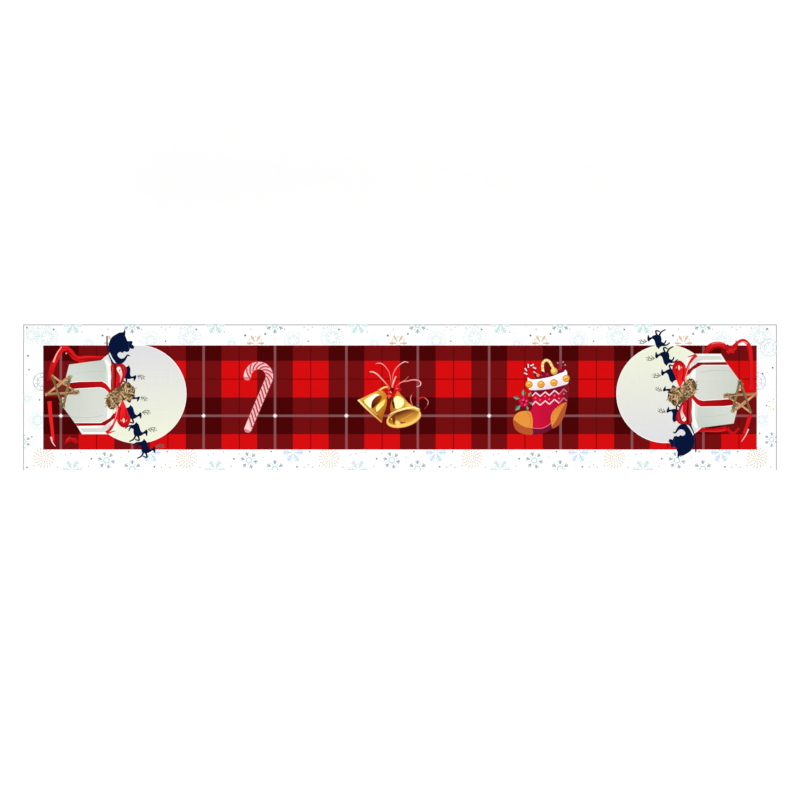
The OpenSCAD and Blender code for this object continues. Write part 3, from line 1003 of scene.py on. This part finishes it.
class Finish:
    """A material made up one node at a time; fixed values sit on the surface's own sockets."""

    def __init__(self, name, **fixed):
        self.material = bpy.data.materials.new(name)
        self.material.use_nodes = True
        self.tree = self.material.node_tree
        self.surface = self.tree.nodes["Principled BSDF"]
        for socket, value in fixed.items():
            self.surface.inputs[socket.replace("_", " ")].default_value = value

    def node(self, kind, settings=None, inputs=(), output=0):
        node = self.tree.nodes.new(kind)
        for setting, value in (settings or {}).items():
            setattr(node, setting, value)
        pairs = inputs.items() if isinstance(inputs, dict) else enumerate(inputs)
        for socket, value in pairs:
            self.feed(node.inputs[socket], value)
        return Wire(self, node.outputs[output])

    def feed(self, socket, value):
        if isinstance(value, Wire):
            self.tree.links.new(value.socket, socket)
        else:
            socket.default_value = value

    def show(self, socket, value):
        """Feeds a value to one of the surface's own sockets."""
        self.feed(self.surface.inputs[socket], value)

    def own_place(self):
        return self.node("ShaderNodeTexCoord", {}, (), "Object")

    def millimetres(self, place):
        """The x and the y of a place in metres, as millimetres."""
        return [self.node("ShaderNodeSeparateXYZ", {}, (place,), axis) * 1000 for axis in ("X", "Y")]

    def mix(self, share, first, second):
        """A colour that is the first where share is 0 and the second where it is 1."""
        first, second = [c if isinstance(c, Wire) else (*c, 1) for c in (first, second)]
        return self.node("ShaderNodeMix", {"data_type": "RGBA"}, {0: share, 6: first, 7: second}, 2)

    def tint(self, colour, strength):
        """A colour with every part multiplied by one strength."""
        shade = self.node("ShaderNodeCombineColor", {}, (strength, strength, strength))
        return self.node("ShaderNodeMix", {"data_type": "RGBA", "blend_type": "MULTIPLY"},
                         {0: 1.0, 6: colour, 7: shade}, 2)

    def noise(self, vector, scale):
        values = {"Vector": vector, "Scale": scale, "Detail": 2.0}
        return self.node("ShaderNodeTexNoise", {}, values, "Fac")

    def bump(self, height, distance, strength):
        values = {"Strength": strength, "Distance": distance, "Height": height}
        return self.node("ShaderNodeBump", {}, values)


tartan_red = dye(209, 9, 12)
tartan_wine = dye(113, 10, 13)
tartan_dark = dye(71, 0, 2)
tartan_hairline = dye(84, 3, 6)
pale_line = dye(158, 100, 104)
border_white = dye(253, 254, 254)

# The tartan's measures, in millimetres; the first two places are those of one dark check's middle.
dark_check_right = 43.2
dark_check_front = 44.9
check_wide = 173.2
check_tall = 178.0
hairline = 1.1
pale_stripe = 3.0
twill_pitch = 4.8
diamond = 5.4
field_half_length = 865.6
field_half_width = 126.3
field_shift_front = 0.5
# Width of the grey band of painted shade along the back edge and both ends.
painted_edge_shade_width = 3.0
yarn = 0.6
slub_long = 90
slub_wide = 1.4
pucker_reach = 2.2


def weave(finish, x, y):
    """Height of a plain weave: warp and weft yarns go over each other in turn."""
    turn = math.pi / yarn
    over = (x * turn).sine() * (y * turn).sine()
    ribs = abs((x * turn).sine()) + abs((y * turn).sine())
    return over * 0.5 + ribs * 0.25


def printed_finish(name, ink_share):
    """The printed cloth, or its plain back, where only a share of the ink shows through."""
    finish = Finish(name, Roughness=0.82, Specular_IOR_Level=0.02, Sheen_Weight=0.02, Sheen_Roughness=0.5)
    x, y = finish.millimetres(finish.node("ShaderNodeUVMap", {"uv_map": "flat_print"}))

    off_column = abs((x - dark_check_right + check_wide / 2) % check_wide - check_wide / 2)
    off_row = abs((y + dark_check_front + check_tall / 2) % check_tall - check_tall / 2)
    dark_column = off_column < check_wide / 4
    dark_row = off_row < check_tall / 4
    ground = finish.mix(dark_column, finish.mix(dark_row, tartan_red, tartan_wine),
                        finish.mix(dark_row, tartan_wine, tartan_dark))
    on_hairline = (off_column > check_wide / 2 - hairline) + (off_row > check_tall / 2 - hairline)
    ground = finish.mix((on_hairline > 0.5) * 0.85, ground, tartan_hairline)
    twill = ((x + y) * (2 * math.pi / twill_pitch)).sine() * 0.4 + 0.55
    on_stripe = ((off_column < pale_stripe) + (off_row < pale_stripe)) > 0.5
    ground = finish.mix(on_stripe * twill, ground, pale_line)
    ground = finish.mix((off_column + off_row) < diamond, ground, dye(250, 240, 238))
    in_field = (abs(x) < field_half_length) * (abs(y + field_shift_front) < field_half_width)
    ground = finish.mix(in_field, border_white, ground)
    # Painted shade: a grey band along the back edge and both ends stands in for the shade at the cloth's
    # edge; the front edge, towards the light, has none.
    from_back = half_width - y
    from_end = half_length - abs(x)
    on_painted_edge_shade = ((from_back < painted_edge_shade_width) + (from_end < painted_edge_shade_width)) > 0.5
    ground = finish.mix(on_painted_edge_shade, ground, dye(168, 170, 170))

    printed = finish.node("ShaderNodeAttribute", {"attribute_name": "ink"}, (), "Color")
    inked = finish.node("ShaderNodeAttribute", {"attribute_name": "ink"}, (), "Alpha")
    over_all = inked > 0.75
    on_border = (inked > 0.25) * (1 - in_field)
    colour = finish.mix(over_all + on_border - over_all * on_border, ground, printed)
    colour = finish.mix(ink_share, dye(250, 250, 248), colour)

    slub_along = finish.node("ShaderNodeCombineXYZ", {}, (x / slub_long, y / slub_wide, 0.0))
    slub_across = finish.node("ShaderNodeCombineXYZ", {}, (x / slub_wide, y / slub_long, 0.0))
    slub = finish.noise(slub_along, 1.0) + finish.noise(slub_across, 1.0)
    finish.show("Base Color", finish.tint(colour, 1 + (slub - 1.0) * 0.10))
    finish.show("Roughness", 0.78 + (slub - 1.0) * 0.2)

    stitch_wave = math.pi / stitch_pitch
    off_seam = abs(half_width - abs(y) - seam_from_edge)
    off_end_seam = abs(half_length - abs(x) - seam_from_edge)
    pucker = ((off_seam < pucker_reach) * (x * stitch_wave).sine()
              + (off_end_seam < pucker_reach) * (y * stitch_wave).sine())
    height = weave(finish, x, y) + slub * 0.4 + abs(pucker) * 0.5
    finish.show("Normal", finish.bump(height, 0.00012, 0.7))
    return finish.material


printed_face = printed_finish("printed_face", 1.0)
printed_back = printed_finish("printed_back", 0.12)

cloth_lengths = [
    ("left", -half_length + nose_radius, -lengths_meet, "left_drop", ("left_end", "centre_left")),
    ("middle", -lengths_meet, lengths_meet, "half_fold", ("centre_left", "centre_right")),
    ("right", lengths_meet, half_length - nose_radius, "right_drop", ("centre_right", "right_end")),
]
for part, x_from, x_to, bend, bodies in cloth_lengths:
    piece = printed_length(f"printed_cloth_{part}", x_from, x_to, bend)
    piece.data.materials.append(printed_face)
    piece.data.materials.append(printed_back)
    choose(piece)
    body_of_cloth = piece.modifiers.new("thickness", "SOLIDIFY")
    body_of_cloth.thickness = cloth_thickness * MM
    body_of_cloth.offset = -1
    body_of_cloth.material_offset = 1
    body_of_cloth.material_offset_rim = 1
    bpy.ops.object.modifier_apply(modifier="thickness")
    bpy.ops.object.shade_smooth_by_angle(angle=math.radians(40))
    bend_over(piece, bend)
    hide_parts(*[f"cloth_{body}" for body in bodies])

# ---------------------------------------------------------------------------------------------------------
# Hems: the cloth's own edge turned under twice, 12 mm wide, so that the raw edge lies inside. The fold
# at the outer edge is round, the corners are mitred, and the under side shows the plain back of the cloth.
# ---------------------------------------------------------------------------------------------------------
hem_finish = Finish("hem_finish", Roughness=0.84, Specular_IOR_Level=0.06, Sheen_Weight=0.04)
hem_x, hem_y = hem_finish.millimetres(hem_finish.own_place())
hem_slub = hem_finish.noise(hem_finish.own_place(), 260.0)
hem_finish.show("Base Color", hem_finish.mix(hem_slub, dye(242, 243, 242), dye(254, 254, 254)))
hem_weave = weave(hem_finish, hem_x, hem_y) + hem_slub * 0.4
hem_finish.show("Normal", hem_finish.bump(hem_weave, 0.00012, 0.7))
under_side = 0.1
inner_nose = 0.45


def hem_section(wave):
    """The hem cut across, as (distance in from the outer edge, height) from the top of the outer fold,
    round it, along the under side, round the inner fold and back under the cloth."""
    section = []
    for k in range(9):
        angle = math.radians(90 + 180 * k / 8)
        section.append((nose_radius + nose_radius * math.cos(angle), nose_radius * (1 + math.sin(angle))))
    section[-1] = (nose_radius, under_side)
    section[-2] = (section[-2][0], 2 * under_side)
    section += [(4, under_side + wave), (8, under_side - wave * 0.4)]
    section += [(9.4, under_side), (10, 0.16), (10.6, under_side), (hem_width - 0.5, under_side)]
    for k in range(1, 6):
        angle = math.radians(-90 + 180 * k / 6)
        inward = hem_width - inner_nose + inner_nose * math.cos(angle)
        section.append((inward, 0.55 + 0.43 * math.sin(angle)))
    section += [(8, 0.98), (nose_radius + 0.02, 0.98)]
    return section


def faces_between(ring, rings):
    """The faces between neighbouring rings of points, each ring closed on itself."""
    faces = []
    for k in range(rings - 1):
        for i in range(ring):
            j = (i + 1) % ring
            faces.append((k * ring + i, k * ring + j, (k + 1) * ring + j, (k + 1) * ring + i))
    return faces


def hem_strip(name, along_x, side, start, end, bend):
    """A hem on one side; start and end are places along it, and an end at a corner is mitred."""
    half_run = half_length if along_x else half_width
    stations = rows_between(start, end, 8)
    if bend:
        stations += bend_rows(bend)
    corner_reach = half_run - hem_width - 1
    stations = [s for s in stations if abs(s) < corner_reach]
    stations += [start, end]
    stations = sorted(set(round(s, 3) for s in stations))
    unevenness = random.Random(name)
    points = []
    for station in stations:
        for inward, height in hem_section(unevenness.uniform(0, 0.05)):
            at_corner = abs(station) > half_run - 0.01
            run = math.copysign(half_run - inward, station) if at_corner else station
            across = side * ((half_width if along_x else half_length) - inward)
            place = (run, across, height) if along_x else (across, run, height)
            points.append(tuple(c * MM for c in place))
    ring = len(hem_section(0))
    faces = faces_between(ring, len(stations))
    faces.append(tuple(range(ring)))
    faces.append(tuple((len(stations) - 1) * ring + i for i in range(ring)))
    strip = new_piece(name, points, faces)
    turn_outward(strip)
    bpy.ops.object.shade_smooth_by_angle(angle=math.radians(50))
    strip.data.materials.append(hem_finish.material)
    return strip


cloth_trims = {"left": [], "middle": [], "right": []}
for edge, side in (("front", -1), ("back", 1)):
    for part, x_from, x_to, bend, bodies in cloth_lengths:
        start = -half_length if part == "left" else x_from
        end = half_length if part == "right" else x_to
        strip = hem_strip(f"{edge}_turned_hem_{part}", True, side, start, end, bend)
        bend_over(strip, bend)
        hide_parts(*[f"{edge}_hem_{body}" for body in bodies])
        cloth_trims[part].append(strip)
for part, side in (("left", -1), ("right", 1)):
    strip = hem_strip(f"{part}_turned_end_hem", False, side, -half_width, half_width, None)
    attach(strip, f"{part}_end")
    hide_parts(f"{part}_end_hem")
    cloth_trims[part].append(strip)

# ---------------------------------------------------------------------------------------------------------
# Seams: a lockstitch in white polyester thread all round, 10 mm from the edge, 3.2 mm to a stitch. The
# needle thread shows on the printed face and the bobbin thread under the hem.
# ---------------------------------------------------------------------------------------------------------
stitch_length = 2.7
thread_thickness = 0.34
ply_pitch = 0.45
thread_finish = Finish("thread_finish", Roughness=0.55, Specular_IOR_Level=0.3, Sheen_Weight=0.1)
thread_x, thread_y = thread_finish.millimetres(thread_finish.own_place())
# The twist of the plies sets the bump and a painted shade: the white thread is painted darker in the grooves
# between its plies.
ply_relief_and_groove_shade = ((thread_x + thread_y) * (2 * math.pi / ply_pitch)).sine() * 0.5 + 0.5
thread_finish.show("Base Color", thread_finish.mix(ply_relief_and_groove_shade, dye(214, 216, 216), dye(246, 247, 247)))
thread_finish.show("Normal", thread_finish.bump(ply_relief_and_groove_shade, 0.00005, 0.8))


def one_stitch(name, along_x, upper):
    """A stitch: a short thread that rises out of its needle hole, lies on the cloth and sinks again."""
    bpy.ops.object.select_all(action="DESELECT")
    bpy.ops.mesh.primitive_uv_sphere_add(segments=6, ring_count=5, radius=0.5)
    stitch = bpy.context.object
    stitch.name = name
    for point in stitch.data.vertices:
        run, across, rise = point.co.z * 2, point.co.x, point.co.y
        sink = 0.11 * run * run * (-1 if upper else 1)
        co = [run * stitch_length / 2, across * thread_thickness, rise * thread_thickness + sink]
        if not along_x:
            co[0], co[1] = co[1], co[0]
        point.co = Vector(co) * MM
    return stitch


def seam(name, along_x, side, start, end):
    """A row of stitches on both faces, from start to end along one edge."""
    rows = []
    count = int((end - start) / stitch_pitch)
    first = start + ((end - start) - (count - 1) * stitch_pitch) / 2
    across = side * ((half_width if along_x else half_length) - seam_from_edge)
    for upper in (True, False):
        stitch = one_stitch(name + ("_needle" if upper else "_bobbin"), along_x, upper)
        height = hem_top + 0.07 if upper else 0.18
        offset = Vector((first, across, height) if along_x else (across, first, height)) * MM
        for point in stitch.data.vertices:
            point.co += offset
        choose(stitch)
        row = stitch.modifiers.new("row", "ARRAY")
        row.use_relative_offset = False
        row.use_constant_offset = True
        pitch = stitch_pitch * MM
        row.constant_offset_displace = (pitch, 0, 0) if along_x else (0, pitch, 0)
        row.count = count
        bpy.ops.object.modifier_apply(modifier="row")
        rows.append(stitch)
    choose(rows[0])
    rows[1].select_set(True)
    bpy.ops.object.join()
    seamed = bpy.context.object
    seamed.name = name
    turn_outward(seamed)
    bpy.ops.object.shade_smooth()
    seamed.data.materials.append(thread_finish.material)
    return seamed


for edge, side in (("front", -1), ("back", 1)):
    for part, x_from, x_to, bend, bodies in cloth_lengths:
        start = -half_length + seam_from_edge if part == "left" else x_from
        end = half_length - seam_from_edge if part == "right" else x_to
        stitches = seam(f"{edge}_lockstitch_{part}", True, side, start, end)
        bend_over(stitches, bend)
        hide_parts(*[f"{edge}_seam_{body}" for body in bodies])
        cloth_trims[part].append(stitches)
for part, side in (("left", -1), ("right", 1)):
    run = half_width - seam_from_edge - stitch_pitch
    stitches = seam(f"{part}_end_lockstitch", False, side, -run, run)
    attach(stitches, f"{part}_end")
    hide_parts(f"{part}_end_seam")
    cloth_trims[part].append(stitches)

# ---------------------------------------------------------------------------------------------------------
# Care label: a blank loop of white satin tape under the front hem near the right end, its raw ends caught
# in the hem stitching and its fold lying free under the cloth.
# ---------------------------------------------------------------------------------------------------------
label_finish = Finish("label_finish", Roughness=0.38, Specular_IOR_Level=0.35, Anisotropic=0.4)
label_x, label_y = label_finish.millimetres(label_finish.own_place())
satin_pitch = 0.35
satin_way = label_y + (label_x * 2.1).sine() * 0.05
# The satin floats set the bump and a painted sheen: the white tape is painted lighter along the crest of each
# float.
satin_float_relief_and_sheen = (satin_way * (2 * math.pi / satin_pitch)).sine() * 0.5 + 0.5
label_finish.show("Base Color", label_finish.mix(satin_float_relief_and_sheen, dye(232, 233, 236), dye(250, 250, 252)))
label_finish.show("Normal", label_finish.bump(satin_float_relief_and_sheen, 0.00003, 0.6))

tape = 0.14
under_cloth = cloth_thickness + 0.05


def tape_height(x, y):
    """The height of the label's upper side, just under the cloth."""
    return cloth_height(x, y) - under_cloth


columns = rows_between(label_low.x / MM, label_high.x / MM, 2)
rows = rows_between(label_low.y / MM, label_high.y / MM - tape, 2)
points = []
for x in columns:
    for y in rows:
        points.append((x, y, tape_height(x, y)))
    points.append((x, label_high.y / MM, tape_height(x, rows[-1]) - tape))
    for y in reversed(rows):
        points.append((x, y, tape_height(x, y) - 2 * tape))
ring = 2 * len(rows) + 1
faces = faces_between(ring, len(columns))
for k in (0, len(columns) - 1):
    for i in range(len(rows) - 1):
        faces.append((k * ring + i, k * ring + i + 1, k * ring + ring - 2 - i, k * ring + ring - 1 - i))
    faces.append((k * ring + len(rows) - 1, k * ring + len(rows), k * ring + len(rows) + 1))
blank_label = new_piece("blank_care_label", [Vector(p) * MM for p in points], faces)
turn_outward(blank_label)
bpy.ops.object.shade_smooth_by_angle(angle=math.radians(50))
blank_label.data.materials.append(label_finish.material)
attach(blank_label, "right_end")
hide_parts("care_label")
cloth_trims["right"].append(blank_label)
